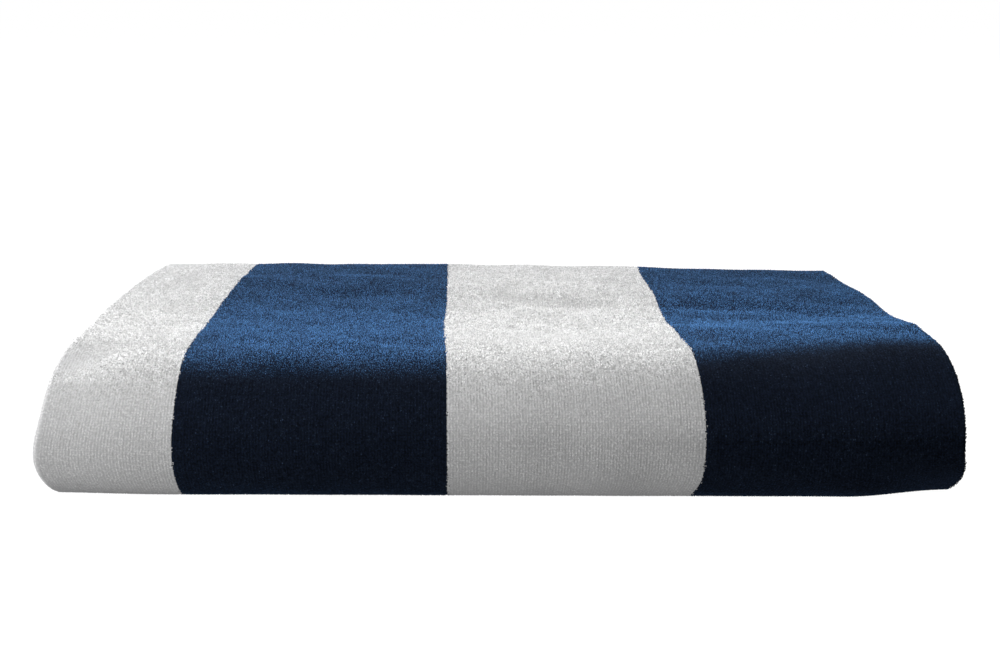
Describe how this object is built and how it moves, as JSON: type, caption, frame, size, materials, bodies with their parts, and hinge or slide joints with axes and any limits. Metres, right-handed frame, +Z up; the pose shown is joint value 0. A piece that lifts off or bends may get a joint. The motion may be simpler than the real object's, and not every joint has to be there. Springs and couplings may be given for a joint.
{
  "type": "folded beach towel",
  "caption": "Beach towel with broad lengthwise navy and white bands, folded flat for a shelf: one terry sheet, doubled along its length and halved again into a pile with a rounded front.",
  "frame": {"origin": "centre of the towel's footprint, on the surface it lies on", "axes": "+X along the folded width, from the long fold at the left to the selvages at the right; +Y from the rounded front to the hems at the back; +Z up through the layers"},
  "size_m": [0.3926, 0.2464, 0.0593],
  "materials": {
    "terry_navy": "sheared terry pile, navy",
    "terry_white": "sheared terry pile, white"
  },
  "bodies": {
    "root": {"towel": "terry_navy"}
  },
  "joints": []
}
